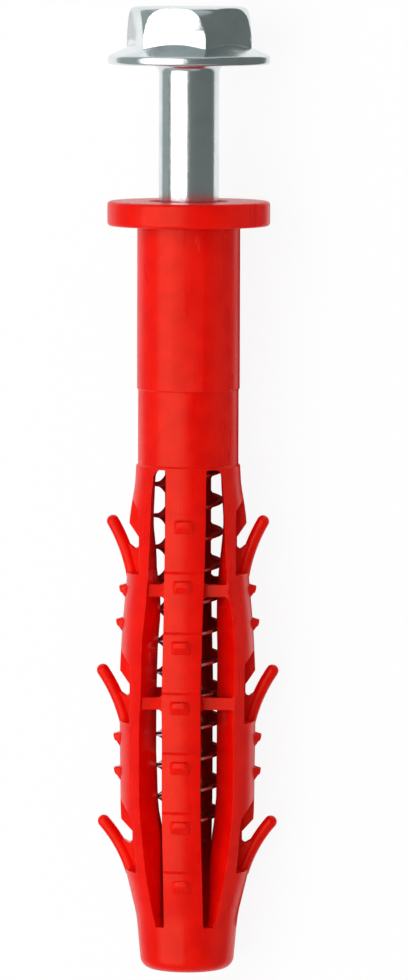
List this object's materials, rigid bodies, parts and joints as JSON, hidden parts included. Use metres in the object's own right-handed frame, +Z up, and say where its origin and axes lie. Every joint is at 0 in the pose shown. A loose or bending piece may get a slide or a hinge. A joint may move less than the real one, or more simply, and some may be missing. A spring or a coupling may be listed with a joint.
{
  "type": "frame fixing",
  "caption": "Frame fixing: slotted nylon expansion sleeve with a collar, whisker barbs and raised pads, and a hex flange screw partly driven into it.",
  "frame": {"origin": "centre of the underside of the bounding box, with the fixing lying at rest", "axes": "+Y along the fixing towards the screw's head, +Z up from the surface that it lies on"},
  "size_m": [0.019, 0.1128, 0.0194],
  "materials": {
    "red_nylon": "satin moulded nylon",
    "zinc_plated_steel": "bright zinc plating"
  },
  "bodies": {
    "sleeve": {"expansion_sleeve": "red_nylon"},
    "screw": {"flange_head_screw": "zinc_plated_steel"}
  },
  "joints": [
    {"name": "screw_drive", "type": "slide", "parent": "sleeve", "child": "screw", "axis": [0, -0.9997, -0.0258], "range_m": [-0.08, 0.0156]}
  ]
}
